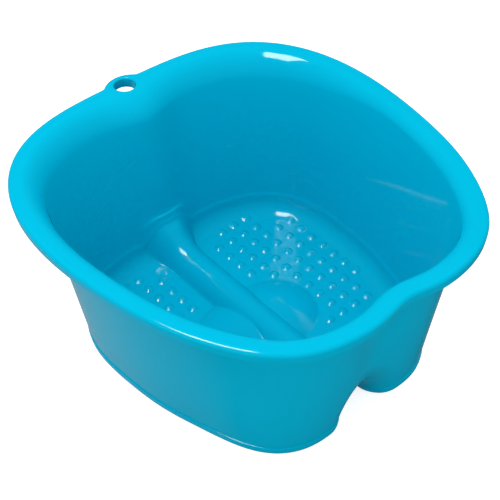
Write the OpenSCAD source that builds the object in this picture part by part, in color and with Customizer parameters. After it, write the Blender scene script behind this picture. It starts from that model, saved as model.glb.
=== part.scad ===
// Pedicure foot bath: a single thin-walled plastic moulding, drawn as its named regions.
// Millimetres. Origin at the centre of the footprint on the floor, +Y to the hanging tab, +Z up.

/* [Overall] */
// Height of the tub from the floor to the rim's top
height = 178; // [150:1:220]
// Thickness of the moulded wall
wall = 2.5; // [1.5:0.1:4]
// Mean distance from the front of the tub to the rim's outer edge
rim_mean = 178.3; // [150:0.1:220]
// Mean distance from the foot's centre to its outer edge
foot_mean = 148.9; // [110:0.1:180]

/* [Rim] */
// Depth of the lip that turns down around the rim
lip_depth = 10.6; // [5:0.1:20]
// Distance from the rim's outer edge to the wall's outer face
rim_width = 19.8; // [12:0.1:30]
// How much wider the rim is behind than in front
rim_wide = 6; // [0:0.5:12]
// How far the back wall bulges in behind the hanging hole
back_bulge = 13; // [0:0.5:20]

/* [Hanging tab] */
// Radius of the round tab behind the rim
tab_r = 24.5; // [15:0.5:35]
// Distance of the tab's centre behind the tub's centre
tab_y = 175.7; // [150:0.1:200]
// Radius of the hanging hole
hole_r = 10.5; // [4:0.5:14]
// Distance of the hanging hole behind the tub's centre
hole_y = 183.4; // [150:0.1:200]
// Half the width that the tab takes out of the rim
tab_half = 27; // [18:0.5:40]

/* [Floor] */
// Height of the well floors' upper face
floor_z = 3.5; // [2:0.1:8]
// Height of the ridge
ridge_z = 20.5; // [12:0.5:40]
// How much higher the ridge and the back shelf are where they meet the back wall
shelf_rise = 24; // [0:1:60]
// Where the ridge and the back shelf start to rise, behind the tub's centre
rise_start = 88; // [60:1:120]
// Half width of the ridge's flat top at its back end
ridge_top = 8; // [4:0.5:16]
// Half width of the ridge at the floor at its back end
ridge_foot = 20.5; // [14:0.5:30]
// Width of the ridge's front end as a share of its back end
ridge_taper = 0.85; // [0.6:0.05:1]
// Distance from the tub's centre to the wells' back ends
well_back = 139; // [100:1:150]
// Radius of the wells' rounded back corners
well_round = 38; // [20:1:70]

/* [Massage surfaces] */
// Distance between neighbouring nubs
nub_pitch = 16.5; // [12:0.1:24]
// Radius of a nub at the floor
nub_r = 5; // [3:0.1:8]
// Height of a nub
nub_h = 2.2; // [1:0.1:6]
// Radius of an arch dome at the floor
dome_r = 43; // [25:0.5:60]
// Height of an arch dome above the floor
dome_h = 11; // [5:0.5:20]
// Sideways distance of the dome's centre from the middle
dome_x = 20; // [0:0.5:40]
// Distance of the dome's centre in front of the tub's centre
dome_front = 10.5; // [-40:0.5:40]

/* [Foot] */
// Height of the band around the foot
band_z = 9; // [3:0.5:11.5]
// How far the band stands out from the wall
band_out = 1.1; // [0:0.1:3]
// Half width of the arch in the front of the foot
arch_half = 16.5; // [8:0.5:30]
// Height of the arch in the front of the foot
arch_z = 27; // [15:0.5:45]
// Radius over which the front wall rounds in to the arch
arch_round = 22; // [5:0.5:40]

/* [Hidden] */
eps = 0.01;
steps = 128;
lip_z = height - lip_depth;
// Cosine terms that shape the rim's and the foot's outline around their mean distance
rim_terms = [120.7, 25.5, 11.2, -4.6, -5.8, -4.5, -2.5, -1.4];
foot_terms = [3.6, 4.9, -5.6, -8.4, 2, -1.9, 2];
rim_shift = -125;
foot_shift = -11;
wall_top = lip_z + 0.6;
wide_drop = 15;
// Steps of the rim's section: [distance in from the outer edge, height, share of the back bulge]
rim_lip = [[0.6, lip_z, 0], [0, height - 4, 0], [0.9, height - 1.2, 0], [3.2, height, 0], [7, height, 0.05]];
rim_crest = [10.5, height, 0.3];
rim_under = [[7, height - wall, 0.05], [4.4, height - wall, 0], [3.1, height - 3.9, 0], [3.1, lip_z, 0]];
roll_steps = [0, 12, 24, 36, 48, 60, 75, 90];
// Heights of the wall's steps, the last ones shared out up to the rim
wall_z = [band_z, 12, 18, 23, 27, 31, 36, 42, 50, 62];
wall_steps = [0.35, 0.7, 1];
dome_ball = (dome_r * dome_r + dome_h * dome_h) / (2 * dome_h);
dome_bore = sqrt(pow(dome_ball - wall, 2) - pow(dome_ball - dome_h, 2));
nub_ball = (nub_r * nub_r + nub_h * nub_h) / (2 * nub_h);
// Rows of nubs from the back of a well: [first column, last column]
nub_rows = [[1, 3], [0, 3], [0, 5], [0, 5], [0, 5], [1, 5], [2, 5], [2, 5], [2, 5], [2, 4], [1, 4]];
nub_x = 37;
// Where the tab's flat plate starts on the rim, and the rim's outer edge beside the tab
tab_cut = 178.5;
tab_side = 191.7;
nub_y = 110.5;

// Sum of the cosine terms at angle t
function wave(terms, t, k = 0) =
  k >= len(terms) ? 0 : terms[k] * cos((k + 1) * t) + wave(terms, t, k + 1);
function foot_dist(t) = foot_mean + wave(foot_terms, t);
// Direction of each step round the tub, closer together at the back and the front
step_dir = [for (i = [0:steps - 1]) let (s = i * 360 / steps) s - 17.2 * sin(2 * s)];
rim_edge = [for (t = step_dir)
  let (q = atan2(190 * sin(t), 190 * cos(t) - rim_shift - 1))
  (rim_mean + wave(rim_terms, q)) * [sin(q), cos(q)] + [0, rim_shift]];
foot_edge = bulged([for (t = step_dir) foot_dist(t) * [sin(t), cos(t)] + [0, foot_shift]], 0.6);
function ease(u) = let (c = min(1, max(0, u))) c * c * (3 - 2 * c);
// Share of the wide back rim at each step
wide = [for (t = step_dir) ease((cos(t) + 0.15) / 0.8)];
// Item i of a list, or a plain number
function pick(v, i) = is_list(v) ? v[i] : v;
// Outline p moved in by d, square to its own direction
function inset(p, d) = [for (i = [0:steps - 1])
  let (a = p[(i + steps - 1) % steps], b = p[(i + 1) % steps], v = (b - a) / norm(b - a))
  p[i] + pick(d, i) * [v[1], -v[0]]];
// Outline p with share k of the bulge pushed into its back
function bulged(p, k) = [for (q = p) q[1] < 0 ? q : q - [0, k * back_bulge * exp(-pow(q[0] / 32, 2))]];
rim_base = bulged(inset(rim_edge, [for (w = wide) rim_width + rim_wide * w]), 1);
// Outline of the wall at height z, moved in by d
function wall_edge(z, d) =
  inset([for (i = [0:steps - 1]) foot_edge[i] + (rim_base[i] - foot_edge[i]) * pick(z, i) / wall_top], d);
// How far the front wall leans in at x, z where it rounds into the arch grown by g
function arch_push(x, z, g) =
  let (q = norm([x / (arch_half + g), z / (arch_z + g)]),
       far = min(1, max(0, 1 - (q - 1) * (15 + g) / (arch_round - g))))
  arch_round * (1 - sqrt(1 - far * far));
function pushed(p, z, g) = [for (i = [0:steps - 1]) let (q = p[i])
  q[1] > 0 ? q : q + [0, arch_push(q[0], pick(z, i), g)]];
function ring(p, z) = [for (i = [0:steps - 1]) [p[i][0], p[i][1], pick(z, i)]];
// Wall's outer face at height z, standing in by d, and its inner face
function outer_ring(z, d) = ring(pushed(wall_edge(z, d), z, 0), z);
function inner_inset(z) = [for (i = [0:steps - 1]) wall + band_out * (1 - pick(z, i) / wall_top)];
function inner_ring(z) = ring(pushed(wall_edge(z, inner_inset(z)), z, wall), z);
roll_z = [for (w = wide) wall_top - wide_drop * w];
wall_levels = concat(wall_z, [for (u = wall_steps) [for (r = roll_z) 62 + (r - 62) * u]]);
// Quarter round from the wall up to the rim's crest, drop below the rim's top and d in from the wall
function roll_ring(a, drop, d) =
  let (z = [for (r = roll_z) r + (height - drop - r) * sin(a)], lean = wall_edge(z, d),
       crest = bulged(inset(rim_edge, rim_crest[0]), rim_crest[2]), f = 1 - cos(a))
  ring([for (i = [0:steps - 1]) lean[i] + (crest[i] - lean[i]) * f], z);

// Closed ring of wall: the loops in order around its section
module tube(loops) {
  n = len(loops);
  polyhedron(
    [for (l = loops) each l],
    [for (j = [0:n - 1], i = [0:steps - 1]) let (k = (i + 1) % steps, m = (j + 1) % n)
      each [[j * steps + i, m * steps + i, m * steps + k], [j * steps + i, m * steps + k, j * steps + k]]]);
}

// Solid between two loops, closed by a fan of triangles at each
module stack(low, high) {
  polyhedron(
    concat(low, high, [[0, 20, low[0][2]], [0, 20, high[0][2]]]),
    [for (i = [0:steps - 1]) let (k = (i + 1) % steps)
      each [[2 * steps, k, i], [2 * steps + 1, steps + i, steps + k],
            [i, k, steps + k], [i, steps + k, steps + i]]]);
}

// Space inside the wall, up to height top; the arch's lean at the top is as deep as at height z
module core(top, z) {
  stack(inner_ring(0), ring(pushed(wall_edge(top, inner_inset(top)), z, wall), top));
}

// Half section of the arch and its tunnel, grown by g
function arch_half_ring(g) = [for (q = [[1, 0], [0.93, 0.45], [0.65, 0.83], [0.26, 1]])
  [q[0] * (arch_half + g), q[1] * (arch_z + g)]];
// Half section of the ridge, w thinner than its outer face, k as wide as its back end, share f of the arch
function hump_half(w, k, f) = let (a = arch_half_ring(wall - w), h = [
  [(ridge_foot - w) * k, 0], [(ridge_foot - w) * k, floor_z - w / 2],
  [(ridge_top + 5) * k - w * 0.7, ridge_z - 5 - w / 2], [ridge_top * k - w / 2, ridge_z - w]])
  [for (j = [0:3]) h[j] + (a[j] - h[j]) * f - (j == 0 ? [0, eps * w] : [0, 0])];
function hump_ring(w, s) = let (h = hump_half(w, s[1], s[2]))
  concat([for (j = [0:3]) [h[j][0], s[0], h[j][1] + (j > 1 ? s[3] : 0)]],
    [for (j = [3:-1:0]) [-h[j][0], s[0], h[j][1] + (j > 1 ? s[3] : 0)]]);
// Sections along the ridge: [place, width share, share of the arch's shape, how much higher]
hump_places = [[well_back + 8, 1, 0, shelf_rise], [rise_start, 1, 0, 0], [-98, 0.88, 0, 0],
  [-128, ridge_taper, 1, 0], [-175, ridge_taper, 1, 0]];

// Hump of the divider ridge, from the back shelf to the arch in the front wall
module hump(w) {
  polyhedron(
    [for (s = hump_places) each hump_ring(w, s)],
    concat(
      [[for (i = [0:7]) i], [for (i = [0:7]) 8 * len(hump_places) - 1 - i]],
      [for (j = [0:len(hump_places) - 2], i = [0:7]) let (k = (i + 1) % 8, a = j * 8)
        each [[a + i, a + 8 + i, a + 8 + k], [a + i, a + 8 + k, a + k]]]));
}

// Plan of one foot well, grown by g; side is 1 on the right and -1 on the left
module well_plan(side, g) {
  scale([side, 1]) intersection() {
    polygon([[0, -180], [180, -180], [180, 200], [0, 200]]);
    union() {
      translate([-60, -180]) square([240, 180 + well_back - well_round]);
      translate([ridge_foot + well_round - g, well_back - well_round]) circle(well_round + g, $fn = 96);
      translate([ridge_foot + well_round - g, 0]) square([160, well_back + g]);
    }
  }
}

// Arch that opens the front wall under the ridge
module front_arch() {
  h = arch_half_ring(0);
  translate([0, -120, 0]) rotate([90, 0, 0]) linear_extrude(70)
    polygon(concat([[h[0][0], -1]], h, [for (j = [3:-1:0]) [-h[j][0], h[j][1]]], [[-h[0][0], -1]]));
}

module dome(side) {
  intersection() {
    translate([side * dome_x, -dome_front, floor_z]) difference() {
      translate([0, 0, dome_h - dome_ball]) sphere(dome_ball, $fn = 180);
      translate([0, 0, dome_h - dome_ball]) sphere(dome_ball - wall, $fn = 180);
      translate([0, 0, -200]) cube([400, 400, 400], center = true);
    }
    translate([side * 100, 0, 30]) cube([200, 400, 60], center = true);
  }
}

module nubs(side) {
  for (j = [0:len(nub_rows) - 1], i = [nub_rows[j][0]:nub_rows[j][1]])
    translate([side * (nub_x + i * nub_pitch), nub_y - j * nub_pitch, floor_z]) intersection() {
      translate([0, 0, nub_h - nub_ball]) sphere(nub_ball, $fn = 32);
      cylinder(r = nub_ball, h = nub_h + 1, $fn = 32);
    }
}

module well_floor(side) {
  difference() {
    intersection() {
      core(band_z, band_z);
      linear_extrude(floor_z) well_plan(side, 0);
    }
    hump(0);
    translate([side * dome_x, -dome_front, -1]) cylinder(r = dome_bore, h = 10, $fn = 180);
  }
}

module rim_cut() {
  translate([-tab_half, tab_cut, lip_z - 20]) cube([2 * tab_half, 60, 60]);
  translate([0, hole_y, lip_z - 20]) cylinder(r = hole_r + 2, h = 60, $fn = 96);
}

// Plan of the tab, with a hollow fillet at each side where it leaves the rim
module tab_plan() {
  fr = 4;
  fx = sqrt(pow(tab_r + fr, 2) - pow(tab_side + fr - tab_y, 2));
  union() {
    intersection() {
      translate([-tab_half, tab_cut]) square([2 * tab_half, 60]);
      polygon(rim_edge);
    }
    intersection() {
      translate([-tab_half, tab_cut]) square([2 * tab_half, 60]);
      translate([0, tab_y]) circle(tab_r, $fn = 128);
    }
    difference() {
      translate([-fx, tab_side - 1.5]) square([2 * fx, 4]);
      for (s = [-1, 1]) translate([s * fx, tab_side + fr]) circle(fr, $fn = 48);
    }
  }
}

module rim_flange() {
  color("#19b4d6") difference() {
    tube(concat(
      [for (s = rim_lip) ring(bulged(inset(rim_edge, s[0]), s[2]), s[1])],
      [for (j = [len(roll_steps) - 1:-1:0]) roll_ring(roll_steps[j], 0, inner_inset(roll_z))],
      [for (a = roll_steps) roll_ring(a, wall, 0)],
      [for (s = rim_under) ring(bulged(inset(rim_edge, s[0]), s[2]), s[1])]));
    rim_cut();
  }
}

module hanging_tab() {
  color("#19b4d6") difference() {
    union() {
      translate([0, 0, height - wall]) linear_extrude(wall) tab_plan();
      translate([0, 0, lip_z]) linear_extrude(lip_depth - wall) difference() {
        tab_plan();
        translate([0, tab_y]) circle(tab_r - 3, $fn = 128);
        translate([-tab_half, 171]) square([2 * tab_half, 17]);
      }
      translate([0, hole_y, lip_z]) cylinder(r = hole_r + 2, h = lip_depth, $fn = 96);
    }
    translate([0, hole_y, lip_z - 1]) cylinder(r = hole_r, h = lip_depth + 2, $fn = 96);
  }
}

module side_wall() {
  color("#1298c4") difference() {
    tube(concat(
      [for (z = wall_levels)
        outer_ring(z, [for (i = [0:steps - 1]) band_out * (roll_z[i] - pick(z, i)) / (roll_z[i] - band_z)])],
      [for (j = [len(wall_levels) - 1:-1:0]) inner_ring(wall_levels[j])]));
    front_arch();
  }
}

module foot_band() {
  color("#0f86b4") difference() {
    tube([outer_ring(0, 1.2), outer_ring(1.2, 0), outer_ring(band_z, 0), inner_ring(band_z), inner_ring(0)]);
    front_arch();
  }
}

module divider_ridge() {
  color("#1298c4") intersection() {
    core(ridge_z + shelf_rise, 0);
    difference() {
      hump(0);
      hump(wall);
      translate([-60, well_back + 2, -1]) cube([120, 60, 60]);
    }
  }
}

// Space under the back shelf's sloping top, w below it
module shelf_space(w) {
  rotate([90, 0, 90]) linear_extrude(320, center = true) polygon([
    [60, -1], [60, ridge_z - w], [rise_start, ridge_z - w], [well_back + 8, ridge_z + shelf_rise - w],
    [well_back + 8, -1]]);
}

module back_shelf() {
  color("#1298c4") difference() {
    intersection() {
      core(ridge_z + shelf_rise, 0);
      shelf_space(0);
      translate([-160, 0, 0]) cube([320, 200, 100]);
    }
    for (s = [-1, 1]) translate([0, 0, -1]) linear_extrude(100) well_plan(s, 0);
    difference() {
      shelf_space(wall);
      for (s = [-1, 1]) translate([0, 0, -2]) linear_extrude(100) intersection() {
        well_plan(s, wall);
        translate([s > 0 ? ridge_foot : -180, 60]) square([180 - ridge_foot, 140]);
      }
    }
    hump(0);
  }
}

module well_floor_left() { color("#14a4ce") well_floor(-1); }
module well_floor_right() { color("#14a4ce") well_floor(1); }
module arch_dome_left() { color("#16aad4") difference() { dome(-1); hump(0); } }
module arch_dome_right() { color("#16aad4") difference() { dome(1); hump(0); } }
module massage_nubs_left() { color("#1cb8e0") nubs(-1); }
module massage_nubs_right() { color("#1cb8e0") nubs(1); }

rim_flange();
hanging_tab();
side_wall();
foot_band();
divider_ridge();
back_shelf();
well_floor_left();
well_floor_right();
arch_dome_left();
arch_dome_right();
massage_nubs_left();
massage_nubs_right();
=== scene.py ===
import math

import bmesh
import bpy
import numpy as np
from mathutils import Matrix, Vector


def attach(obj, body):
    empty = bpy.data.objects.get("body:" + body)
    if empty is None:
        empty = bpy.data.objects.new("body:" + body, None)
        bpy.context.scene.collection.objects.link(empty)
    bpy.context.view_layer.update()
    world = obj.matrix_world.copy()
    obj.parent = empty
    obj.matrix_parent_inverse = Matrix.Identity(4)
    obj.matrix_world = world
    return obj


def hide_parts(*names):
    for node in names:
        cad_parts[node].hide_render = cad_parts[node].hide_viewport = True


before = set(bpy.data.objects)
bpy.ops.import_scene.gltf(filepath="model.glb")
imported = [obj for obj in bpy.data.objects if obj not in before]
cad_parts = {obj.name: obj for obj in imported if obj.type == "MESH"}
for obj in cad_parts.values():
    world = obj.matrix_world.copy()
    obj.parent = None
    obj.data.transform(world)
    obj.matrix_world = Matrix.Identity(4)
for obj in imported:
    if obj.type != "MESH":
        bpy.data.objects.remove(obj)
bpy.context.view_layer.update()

# The moulding's driving sizes, in millimetres
HEIGHT = 178.0
WALL = 2.5
LIP_Z = HEIGHT - 10.6
WALL_TOP = LIP_Z + 0.6
RIM_WIDTH = 19.8
WIDE_RIM, WIDE_DROP = 6.0, 15.0
CREST_IN, CREST_SHARE = 10.5, 0.3
RIM_MEAN, RIM_SHIFT = 178.3, -125.0
RIM_TERMS = (120.7, 25.5, 11.2, -4.6, -5.8, -4.5, -2.5, -1.4)
FOOT_MEAN, FOOT_SHIFT = 148.9, -11.0
FOOT_TERMS = (3.6, 4.9, -5.6, -8.4, 2.0, -1.9, 2.0)
BACK_BULGE, BULGE_WIDTH, BULGE_AT_FOOT = 13.0, 32.0, 0.6
TAB_R, TAB_Y = 24.5, 175.7
HOLE_R, HOLE_Y = 10.5, 183.4
FLOOR_Z, RIDGE_Z, SHELF_RISE = 3.5, 20.5, 24.0
RISE_START, RISE_LENGTH = 88.0, 55.0
RIDGE_FOOT, FLANK, FLANK_SOFT = 20.5, 20.0, 2.5
WELL_BACK, WELL_ROUND = 139.0, 38.0
DOME_R, DOME_H, DOME_X, DOME_Y = 43.0, 11.0, 20.0, -10.5
NUB_R, NUB_H, NUB_PITCH, NUB_X, NUB_Y = 5.0, 2.2, 16.5, 37.0, 110.5
NUB_ROWS = ((1, 3), (0, 3), (0, 5), (0, 5), (0, 5), (1, 5), (2, 5), (2, 5), (2, 5), (2, 4), (1, 4))
BAND_Z, BAND_OUT, SOLE_ROUND = 9.0, 1.1, 3.0
ARCH_HALF, ARCH_Z, ARCH_ROUND, ARCH_REACH = 16.5, 27.0, 22.0, 15.0
# Only here, not in the CAD: the round between floor and wall, and the step in the wall above the floor
FILLET = 15.0
LEDGE_Z, LEDGE_OUT = 27.0, 0.7
# Height where the grid of the floor hands over to the rings of the wall, and counts of rings
CORNER_TOP = 70.0
WALL_RINGS, ROLL_RINGS, OUTER_RINGS, SOLE_RINGS = 12, 20, 40, 7
# Share of the grid's radius that is flat floor, and share of the rest that is the floor's round corner
FLAT_SHARE, BEND_SHARE = 0.72, 0.5
CELLS = 400
# Edges between faces that meet at more than this stay sharp
SHARP = math.radians(50)

TURQUOISE, ROUGHNESS = (0.0, 0.395, 0.59), 0.06
# Camera: turn from the front, height over the horizon and roll in degrees; distances in metres
CAMERA_TURN = (-39.4, 43.28, -1.24)
CAMERA_TARGET, CAMERA_DISTANCE = np.array([0.001, 0.0012, 0.089]), 1.1132
SENSOR, LENS = 36.0, 86.9184
# Point that the lights aim at, and the direction that their second side is square to
LIGHT_AIM, LIGHT_ACROSS = (0, 0, 0.1), (0.641, -0.767, 0)
FLOOR_HALF = 6.0
SOFT_LIGHT, GLOSS_LIGHT = 1.08, (0.04, 0.42)


def smoothstep(x):
    """Ease from 0 to 1 while x goes from 0 to 1."""
    x = np.clip(x, 0, 1)
    return x * x * (3 - 2 * x)


def soft_max(a, b, k):
    """The larger of two heights, blended over k where they cross."""
    h = np.clip(0.5 + 0.5 * (a - b) / k, 0, 1)
    return b * (1 - h) + a * h + k * h * (1 - h)


def wave(terms, t):
    """Sum of the cosine terms at angle t."""
    return sum(a * np.cos((k + 1) * t) for k, a in enumerate(terms))


def rim_edge(t):
    """Outer edge of the rim in the direction t, clockwise from the back."""
    q = np.arctan2(190 * np.sin(t), 190 * np.cos(t) - RIM_SHIFT - 1)
    r = RIM_MEAN + wave(RIM_TERMS, q)
    return np.stack([r * np.sin(q), r * np.cos(q) + RIM_SHIFT], -1)


def foot_edge(t):
    """Outer edge of the foot in the direction t."""
    r = FOOT_MEAN + wave(FOOT_TERMS, t)
    return np.stack([r * np.sin(t), r * np.cos(t) + FOOT_SHIFT], -1)


def inset(p, d):
    """Loop p moved in by d, square to its own direction."""
    v = np.roll(p, -1, 0) - np.roll(p, 1, 0)
    v /= np.linalg.norm(v, axis=1, keepdims=True)
    n = np.stack([v[:, 1], -v[:, 0]], -1)
    if (n * (p - p.mean(0))).sum() > 0:
        n = -n
    return p + n * np.reshape(d, (-1, 1))


def loft_grid():
    """Square grid of cells laid on a disc: (radius, angle) of each point, and the loop round its edge."""
    u = np.linspace(-1, 1, CELLS + 1)
    U, V = np.meshgrid(u, u, indexing="ij")
    x, y = U * np.sqrt(1 - V * V / 2), V * np.sqrt(1 - U * U / 2)
    idx = np.arange((CELLS + 1) ** 2).reshape(CELLS + 1, CELLS + 1)
    loop = np.concatenate([idx[:-1, 0], idx[-1, :-1], idx[:0:-1, -1], idx[0, :0:-1]])
    return np.hypot(x, y).ravel(), np.arctan2(x, y).ravel(), idx, loop


RHO, THETA, IDX, LOOP = loft_grid()
T = THETA[LOOP]
EDGE = rim_edge(T)


def bulge(p, k):
    """Loop p with share k of the bulge pushed into its back."""
    q = p.copy()
    q[:, 1] -= np.where(p[:, 1] > 0, k * BACK_BULGE * np.exp(-((p[:, 0] / BULGE_WIDTH) ** 2)), 0)
    return q


FOOT = bulge(foot_edge(T), BULGE_AT_FOOT)
# The rim rolls into the wall over a wider round behind than in front
WIDE = smoothstep((np.cos(T) + 0.15) / 0.8)
RIM_BASE = bulge(inset(EDGE, RIM_WIDTH + WIDE_RIM * WIDE), 1)
ROLL_START = WALL_TOP - WIDE_DROP * WIDE


def arch_edge(x):
    """Height of the arch's mouth over the floor, across the front."""
    return ARCH_Z * np.exp(-((np.abs(x) / 12.5) ** 4))


def arch_push(x, z):
    """How far the front wall leans in where it rounds into the arch."""
    q = np.hypot(x / ARCH_HALF, z / ARCH_Z)
    far = np.clip(1 - (q - 1) * ARCH_REACH / ARCH_ROUND, 0, 1)
    return ARCH_ROUND * (1 - np.sqrt(1 - far**2))


def arch_ramp(x, depth):
    """Inverse of arch_push: height of the rounded wall at a depth behind the front face."""
    near = 1 - np.clip(depth / ARCH_ROUND, 0, 1)
    far = np.sqrt(np.clip(1 - near**2, 0, 1))
    q = 1 + (1 - far) * ARCH_ROUND / ARCH_REACH
    return ARCH_Z * np.sqrt(np.maximum(q**2 - (x / ARCH_HALF) ** 2, 0))


def wall_edge(z, d):
    """Loop of the wall's outer face at height z, moved in by d."""
    z = np.reshape(z * np.ones(len(T)), (-1, 1))
    return inset(FOOT + (RIM_BASE - FOOT) * z / WALL_TOP, d)


def tab_push(p):
    """How far the rim's outer edge moves back to follow the round tab."""
    y = TAB_Y + np.sqrt(np.maximum(TAB_R**2 - p[:, 0] ** 2, 0))
    y = np.where((p[:, 1] > 0) & (np.abs(p[:, 0]) < TAB_R), y, -500)
    return soft_max(y, p[:, 1], 3.0) - p[:, 1]


PUSH = tab_push(EDGE)


def rim_ring(d, z):
    """Loop of the rim's section, d in from its outer edge and at height z."""
    k = CREST_SHARE * smoothstep((d - 6) / 4.5) + (1 - CREST_SHARE) * smoothstep((d - 12) / 6)
    p = bulge(inset(EDGE, d), k)
    p[:, 1] += PUSH * np.clip(1 - (d - 3) / 10, 0, 1)
    return np.column_stack([p, np.full(len(p), z)])


# Loop along the top of the rim, where the round up from the wall ends
CREST = rim_ring(CREST_IN, HEIGHT)[:, :2]


def roll_ring(a, drop, d):
    """Loop at turn a of the quarter round from the wall, d in, up to drop below the rim's crest."""
    z = ROLL_START + (HEIGHT - drop - ROLL_START) * math.sin(a)
    lean = wall_edge(z, d)
    return np.column_stack([lean + (CREST - lean) * (1 - math.cos(a)), z])


def corner(d0, z0, d1, z1, n):
    """Quarter round between two points of a section, setting out level."""
    a = np.linspace(0, math.pi / 2, n)
    return [(d0 + (d1 - d0) * math.sin(x), z0 + (z1 - z0) * (1 - math.cos(x))) for x in a]


def well_side(x, y):
    """Distance out of a foot well's plan, on its ridge side and round its back."""
    px, py = RIDGE_FOOT + WELL_ROUND - x, y - (WELL_BACK - WELL_ROUND)
    return np.hypot(np.maximum(px, 0), np.maximum(py, 0)) - WELL_ROUND + np.minimum(np.maximum(px, py), 0)


def flank(s):
    """Rise of the ridge's side: steep at its foot and round over its crest."""
    s = np.where(s > 0, np.sqrt(s * s + FLANK_SOFT**2) - FLANK_SOFT, 0)
    u = np.clip(s / (np.sqrt(FLANK**2 + FLANK_SOFT**2) - FLANK_SOFT), 0, 1)
    return (1 - (1 - u) ** 2) ** 0.7


def relief(x, y, nubs=True):
    """Height of the tub's inner floor over the point x, y, without its side wall."""
    ax = np.abs(x)
    crest = RIDGE_Z + SHELF_RISE * smoothstep((y - RISE_START) / RISE_LENGTH)
    z = FLOOR_Z + (crest - FLOOR_Z) * flank(well_side(ax, y))
    ball = (DOME_R**2 + DOME_H**2) / (2 * DOME_H)
    r2 = (ax - DOME_X) ** 2 + (y - DOME_Y) ** 2
    cap = np.sqrt(np.maximum(ball**2 - r2, 0)) - ball + DOME_H + FLOOR_Z
    z = np.where(r2 < (DOME_R + 4) ** 2, soft_max(cap, z, 0.5), z)
    if nubs:
        j = np.clip(np.round((NUB_Y - y) / NUB_PITCH), 0, len(NUB_ROWS) - 1).astype(int)
        rows = np.array(NUB_ROWS)
        i = np.clip(np.round((ax - NUB_X) / NUB_PITCH), rows[j, 0], rows[j, 1])
        r = np.hypot(ax - NUB_X - i * NUB_PITCH, y - NUB_Y + j * NUB_PITCH)
        ball = (NUB_R**2 + NUB_H**2) / (2 * NUB_H)
        z = z + soft_max(np.sqrt(np.maximum(ball**2 - r**2, 0)) - ball + NUB_H, 0, 0.35)
    return z


def joined(a, b, p=2.6):
    """Two heights merged with a soft hollow between them; either alone where the other is nothing."""
    return (np.maximum(a, 0) ** p + np.maximum(b, 0) ** p) ** (1 / p)


def at_angle(p, t):
    """Points of loop p in the directions t."""
    order = np.argsort(T)
    ts = np.concatenate([T[order] - 2 * math.pi, T[order], T[order] + 2 * math.pi])
    return np.stack([np.interp(t, ts, np.tile(p[order, k], 3)) for k in range(2)], -1)


def wall_inset(z):
    """Distance in from wall_edge to the wall's inner face, which steps in below LEDGE_Z."""
    return WALL + BAND_OUT * (1 - z / WALL_TOP) + LEDGE_OUT * smoothstep((LEDGE_Z - z) / 3)


def inner_floor():
    """Floor, its round corner and the foot of the wall, as one grid."""
    s = np.clip((RHO - FLAT_SHARE) / (1 - FLAT_SHARE), 0, 1)
    turn = np.clip(s / BEND_SHARE, 0, 1) * math.pi / 2
    climb = np.clip((s - BEND_SHARE) / (1 - BEND_SHARE), 0, 1)
    lift = FILLET * (1 - np.cos(turn)) + climb * (CORNER_TOP - FLOOR_Z - FILLET)
    back = FILLET * (1 - np.sin(turn))
    foot, rim = at_angle(FOOT, THETA), at_angle(RIM_BASE, THETA)
    out = at_angle(FOOT - inset(FOOT, 1.0), THETA)
    out /= np.linalg.norm(out, axis=1, keepdims=True)
    face = foot + (rim - foot) * ((FLOOR_Z + lift) / WALL_TOP)[:, None]
    wall = face - out * (wall_inset(FLOOR_Z + lift) + back)[:, None]
    flat_edge = foot + (rim - foot) * FLOOR_Z / WALL_TOP - out * (wall_inset(FLOOR_Z) + FILLET)
    centre = np.array([0, FOOT_SHIFT])
    inside = centre + (flat_edge - centre) * (RHO / FLAT_SHARE)[:, None]
    pos = np.where((RHO < FLAT_SHARE)[:, None], inside, wall)
    x, y = pos[:, 0], pos[:, 1]
    smooth = relief(x, y, nubs=False)
    z = FLOOR_Z + joined(lift, (smooth - FLOOR_Z) * (1 - smoothstep((lift - 30) / 32)))
    z = z + (relief(x, y) - smooth) * smoothstep(1 - lift / 4)
    # the arch's roof runs in over the front of the ridge and fades into it
    roof = (arch_ramp(x, y - face[:, 1] - WALL) + WALL) * smoothstep((-95 - y) / 30)
    z = np.where(y < -60, soft_max(z, roof, 3.0), z)
    return np.column_stack([pos, np.minimum(z, CORNER_TOP)])


def wall_and_rim():
    """Rings up the inner wall, over the rim and round under its lip to the outer wall."""
    rings = []
    for k in range(1, WALL_RINGS + 1):
        z = CORNER_TOP + (ROLL_START - CORNER_TOP) * k / WALL_RINGS
        rings.append(np.column_stack([wall_edge(z, wall_inset(z)), z]))
    turns = np.linspace(0, math.pi / 2, ROLL_RINGS)
    rings += [roll_ring(a, 0, wall_inset(ROLL_START)) for a in turns[1:]]
    section = [(8.5, HEIGHT), (6, HEIGHT), (4.5, HEIGHT)]
    section += corner(3.2, HEIGHT, 0, HEIGHT - 3.4, 10)
    section += [(0.1, HEIGHT - 5), (0.4, HEIGHT - 7.5), (0.7, LIP_Z + 0.8)]
    section += [(0.8, LIP_Z + 0.2), (1.5, LIP_Z), (2.4, LIP_Z + 0.2), (2.9, LIP_Z + 0.9)]
    section += [(2.8, HEIGHT - 7), (2.9, HEIGHT - 5.2), (3.6, HEIGHT - 3.4)]
    section += [(5.5, HEIGHT - WALL), (8.5, HEIGHT - WALL)]
    rings += [rim_ring(d, z) for d, z in section]
    return rings + [roll_ring(a, WALL, 0) for a in turns[::-1]]


def outer_ring(z, d):
    """Loop of the outer wall at height z, moved in by d and leaning in round the arch."""
    p = wall_edge(z, d)
    p[:, 1] += np.where(p[:, 1] < 0, arch_push(p[:, 0], z), 0)
    return np.column_stack([p, z * np.ones(len(T))])


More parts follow.
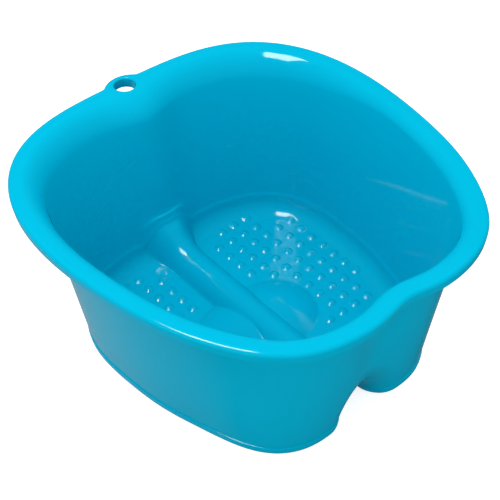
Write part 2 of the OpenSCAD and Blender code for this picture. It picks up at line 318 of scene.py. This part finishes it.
def outer_wall():
    """Rings down the outer wall, round the foot band's ledge and the edge of the sole."""
    x, front = FOOT[:, 0], FOOT[:, 1] < 0
    arch = np.where(front, arch_edge(x), 0)
    low = arch + SOLE_ROUND
    band = np.maximum(BAND_Z, low + 0.6)
    rings = []
    for k in range(OUTER_RINGS):
        z = ROLL_START - (ROLL_START - band - 0.6) * (k / (OUTER_RINGS - 1)) ** 0.7
        rings.append(outer_ring(z, BAND_OUT * (1 - z / ROLL_START)))
    # the ledge fades out where the wall rounds into the arch
    plain = smoothstep(1 - arch / 6) * np.where(front, smoothstep((np.abs(x) - 17) / 12), 1)
    for d, dz in ((1.0, 0.3), (0.94, 0.1), (0.75, 0.0), (0.3, -0.15), (0.1, -0.35), (0, -0.9)):
        rings.append(outer_ring(band + dz, BAND_OUT * (1 + (d - 1) * plain)))
    for a in np.linspace(0, math.pi / 2, SOLE_RINGS):
        d = SOLE_ROUND * (1 - math.cos(a)) + BAND_OUT * (1 - plain)
        rings.append(outer_ring(low - SOLE_ROUND * math.sin(a), d))
    return rings


def underside(sole):
    """Grid inside the loop sole: flat, and hollow below the ridge, the shelf and the domes."""
    centre = np.array([0, FOOT_SHIFT])
    pos = centre + (at_angle(sole[:, :2], THETA) - centre) * RHO[:, None] * 0.997
    x, y = pos[:, 0], pos[:, 1]
    hollow = np.maximum(relief(x, y, nubs=False) - FLOOR_Z - WALL * 0.6, 0)
    inward = 1 - RHO
    mouth = np.where(y < 0, arch_edge(x), 0) * smoothstep(1 - inward / 0.16)
    tunnel = np.clip(arch_edge(x * 0.8) / ARCH_Z * 3, 0, 1)
    hollow *= np.where((np.abs(x) < RIDGE_FOOT) & (y < 0), tunnel, smoothstep(inward / 0.08))
    return np.column_stack([pos, np.maximum(hollow, mouth)])


def build_shell():
    """Points and faces of the whole moulding, as one closed skin."""
    floor = inner_floor()
    rings = wall_and_rim() + outer_wall()
    verts = np.vstack([floor] + rings + [underside(rings[-1])])
    n, base = len(T), len(floor)
    sole = base + len(rings) * n
    a, b, c, d = (g.ravel() for g in (IDX[:-1, :-1], IDX[1:, :-1], IDX[1:, 1:], IDX[:-1, 1:]))
    faces = [np.stack([a, b, c, d], -1)]
    loops = [LOOP] + [base + k * n + np.arange(n) for k in range(len(rings))] + [sole + LOOP]
    for p, q in zip(loops[:-1], loops[1:]):
        faces.append(np.stack([p, q, np.roll(q, -1), np.roll(p, -1)], -1))
    faces.append(sole + np.stack([a, d, c, b], -1))
    return verts, np.vstack(faces)


def link(ob):
    bpy.context.scene.collection.objects.link(ob)
    return ob


def mesh_object(name, verts, faces):
    """Smooth mesh object from points in millimetres and faces of four corners."""
    me = bpy.data.meshes.new(name)
    me.vertices.add(len(verts))
    me.vertices.foreach_set("co", (verts / 1000.0).astype(np.float32).ravel())
    me.loops.add(faces.size)
    me.loops.foreach_set("vertex_index", faces.astype(np.int32).ravel())
    me.polygons.add(len(faces))
    me.polygons.foreach_set("loop_start", np.arange(0, faces.size, 4, dtype=np.int32))
    me.update(calc_edges=True)
    me.validate()
    me.shade_smooth()
    return link(bpy.data.objects.new(name, me))


def revolved(name, profile, closed=False, turns=96):
    """Surface of revolution about the hanging hole's axis; the profile is (radius, height) points."""
    prof = np.array(profile, float)
    n = len(prof)
    a = np.linspace(0, 2 * math.pi, turns, endpoint=False)
    verts = np.array([(r * math.cos(t), r * math.sin(t) + HOLE_Y, z) for t in a for r, z in prof])
    faces = []
    for i in range(turns):
        here, there = i * n, ((i + 1) % turns) * n
        for j in range(n if closed else n - 1):
            k = (j + 1) % n
            faces.append((here + j, there + j, there + k, here + k))
    ob = mesh_object(name, verts, np.array(faces))
    bm = bmesh.new()
    bm.from_mesh(ob.data)
    bmesh.ops.remove_doubles(bm, verts=bm.verts, dist=1e-6)
    bmesh.ops.recalc_face_normals(bm, faces=bm.faces)
    bm.to_mesh(ob.data)
    bm.free()
    ob.data.set_sharp_from_angle(angle=SHARP)
    return ob


def cut_hole(shell):
    """Cut the hanging hole, with a rounded upper edge, through the tab."""
    profile = [(0, LIP_Z - 4), (HOLE_R, LIP_Z - 4), (HOLE_R, HEIGHT - 1.4)]
    profile += [(HOLE_R + 0.1, HEIGHT - 0.9), (HOLE_R + 0.45, HEIGHT - 0.35)]
    profile += [(HOLE_R + 1.2, HEIGHT + 0.05), (HOLE_R + 2.5, HEIGHT + 3), (0, HEIGHT + 3)]
    cutter = revolved("cutter", profile)
    cut = shell.modifiers.new("hole", "BOOLEAN")
    cut.object, cut.operation, cut.solver = cutter, "DIFFERENCE", "EXACT"
    bpy.context.view_layer.update()
    shape = shell.evaluated_get(bpy.context.evaluated_depsgraph_get())
    mesh = bpy.data.meshes.new_from_object(shape)
    shell.modifiers.clear()
    shell.data = mesh
    bpy.data.objects.remove(cutter)
    mesh.set_sharp_from_angle(angle=SHARP)


def hole_collar():
    """Thin collar that lines the hanging hole below the rim's top."""
    out = HOLE_R + 2.2
    profile = [(HOLE_R, HEIGHT - 2.0), (HOLE_R, LIP_Z + 0.4), (HOLE_R + 0.3, LIP_Z + 0.1)]
    profile += [(out - 0.3, LIP_Z + 0.1), (out, LIP_Z + 0.4), (out, HEIGHT - 2.0)]
    return revolved("hole_collar", profile, closed=True)


def plastic(name, colour, rough):
    """Glossy moulded plastic with slight clouds in its colour and gloss, and a fine grain."""
    m = bpy.data.materials.new(name)
    m.use_nodes = True
    nt = m.node_tree
    bsdf = nt.nodes["Principled BSDF"]
    bsdf.inputs["IOR"].default_value = 1.5
    bsdf.inputs["Specular IOR Level"].default_value = 0.2
    coord = nt.nodes.new("ShaderNodeTexCoord")
    cloud = nt.nodes.new("ShaderNodeTexNoise")
    cloud.inputs["Scale"].default_value = 9.0
    cloud.inputs["Detail"].default_value = 3.0
    ramp = nt.nodes.new("ShaderNodeMapRange")
    ramp.inputs["To Min"].default_value = rough - 0.03
    ramp.inputs["To Max"].default_value = rough + 0.04
    mix = nt.nodes.new("ShaderNodeMix")
    mix.data_type = "RGBA"
    mix.inputs["A"].default_value = (*[c * 0.96 for c in colour], 1)
    mix.inputs["B"].default_value = (*[c * 1.04 for c in colour], 1)
    grain = nt.nodes.new("ShaderNodeTexNoise")
    grain.inputs["Scale"].default_value = 900.0
    bump = nt.nodes.new("ShaderNodeBump")
    bump.inputs["Strength"].default_value = 0.02
    bump.inputs["Distance"].default_value = 0.0002
    wire = nt.links.new
    wire(coord.outputs["Object"], cloud.inputs["Vector"])
    wire(coord.outputs["Object"], grain.inputs["Vector"])
    wire(cloud.outputs["Fac"], ramp.inputs["Value"])
    wire(cloud.outputs["Fac"], mix.inputs["Factor"])
    wire(mix.outputs["Result"], bsdf.inputs["Base Color"])
    wire(ramp.outputs["Result"], bsdf.inputs["Roughness"])
    wire(grain.outputs["Fac"], bump.inputs["Height"])
    wire(bump.outputs["Normal"], bsdf.inputs["Normal"])
    return m


def camera():
    """Camera looking down from the front left, as solved from the photo's outlines."""
    az, el, roll = (math.radians(a) for a in CAMERA_TURN)
    back = np.array([math.sin(az) * math.cos(el), -math.cos(az) * math.cos(el), math.sin(el)])
    x = np.cross([0, 0, 1], back)
    x /= np.linalg.norm(x)
    y = np.cross(back, x)
    c, s = math.cos(roll), math.sin(roll)
    cam = link(bpy.data.objects.new("camera", bpy.data.cameras.new("camera")))
    cam.data.sensor_width = SENSOR
    cam.data.lens = LENS
    axes = np.stack([c * x + s * y, -s * x + c * y, back, CAMERA_TARGET + CAMERA_DISTANCE * back], 1)
    cam.matrix_world = Matrix([*axes.tolist(), (0, 0, 0, 1)])
    bpy.context.scene.camera = cam


def area(name, place, aim, size, watts):
    """Rectangular light at a place, turned to the point it aims at."""
    light = bpy.data.lights.new(name, "AREA")
    light.shape = "RECTANGLE"
    light.size, light.size_y = size
    light.energy = watts
    ob = link(bpy.data.objects.new(name, light))
    back = (Vector(place) - Vector(aim)).normalized()
    side = Vector(LIGHT_ACROSS).cross(back).normalized()
    ob.matrix_world = Matrix((side.cross(back), side, back)).transposed().to_4x4()
    ob.location = place
    return ob


def stage_floor():
    """White floor that only the camera sees lit, so that it doesn't tint the tub."""
    me = bpy.data.meshes.new("floor")
    h = FLOOR_HALF
    me.from_pydata([(-h, -h, 0), (h, -h, 0), (h, h, 0), (-h, h, 0)], [], [(0, 1, 2, 3)])
    floor = link(bpy.data.objects.new("floor", me))
    mat = bpy.data.materials.new("floor")
    mat.use_nodes = True
    nt = mat.node_tree
    bsdf = nt.nodes["Principled BSDF"].inputs
    bsdf["Base Color"].default_value = (0.6, 0.6, 0.6, 1)
    bsdf["Roughness"].default_value = 0.7
    bsdf["Emission Color"].default_value = (1, 1, 1, 1)
    seen_by = nt.nodes.new("ShaderNodeLightPath")
    lit = nt.nodes.new("ShaderNodeMapRange")
    lit.inputs["To Max"].default_value = 0.75
    nt.links.new(seen_by.outputs["Is Camera Ray"], lit.inputs["Value"])
    nt.links.new(lit.outputs["Result"], bsdf["Emission Strength"])
    me.materials.append(mat)
    floor.visible_glossy = False


def studio():
    """World: even white light, and a dim one for the gloss, with a sweep behind and below the tub."""
    world = bpy.data.worlds.new("studio")
    world.use_nodes = True
    nt = world.node_tree
    soft = nt.nodes["Background"]
    soft.inputs["Color"].default_value = (1, 1, 1, 1)
    soft.inputs["Strength"].default_value = SOFT_LIGHT

    def ranged(low, high, end):
        node = nt.nodes.new("ShaderNodeMapRange")
        node.inputs[end + " Min"].default_value = low
        node.inputs[end + " Max"].default_value = high
        return node

    seen = nt.nodes.new("ShaderNodeBackground")
    coord = nt.nodes.new("ShaderNodeTexCoord")
    axes = nt.nodes.new("ShaderNodeSeparateXYZ")
    behind = ranged(0.1, 0.6, "From")
    below = ranged(-0.1, -0.6, "From")
    both = nt.nodes.new("ShaderNodeMath")
    both.operation = "MULTIPLY"
    level = ranged(*GLOSS_LIGHT, "To")
    path = nt.nodes.new("ShaderNodeLightPath")
    pick = nt.nodes.new("ShaderNodeMixShader")
    wire = nt.links.new
    wire(coord.outputs["Generated"], axes.inputs["Vector"])
    wire(axes.outputs["Y"], behind.inputs["Value"])
    wire(axes.outputs["Z"], below.inputs["Value"])
    wire(behind.outputs["Result"], both.inputs[0])
    wire(below.outputs["Result"], both.inputs[1])
    wire(both.outputs["Value"], level.inputs["Value"])
    wire(level.outputs["Result"], seen.inputs["Strength"])
    wire(path.outputs["Is Glossy Ray"], pick.inputs["Fac"])
    wire(soft.outputs["Background"], pick.inputs[1])
    wire(seen.outputs["Background"], pick.inputs[2])
    wire(pick.outputs["Shader"], nt.nodes["World Output"].inputs["Surface"])
    bpy.context.scene.world = world


shell = mesh_object("tub_shell", *build_shell())
material = plastic("turquoise_plastic", TURQUOISE, ROUGHNESS)
shell.data.materials.append(material)
cut_hole(shell)
collar = hole_collar()
collar.data.materials.append(material)
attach(collar, "root")
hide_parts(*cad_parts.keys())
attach(shell, "root")

camera()
key = area("key", (-0.56, 0.12, 1.6), LIGHT_AIM, (0.55, 0.85), 10)
key.visible_glossy = False
# the softbox is only what the gloss shows; it stands just below the key light's plane
softbox = area("softbox", (-0.55, 0.118, 1.57), LIGHT_AIM, (0.54, 0.83), 42)
softbox.visible_diffuse = False
stage_floor()
studio()
bpy.context.scene.view_settings.view_transform = "Standard"
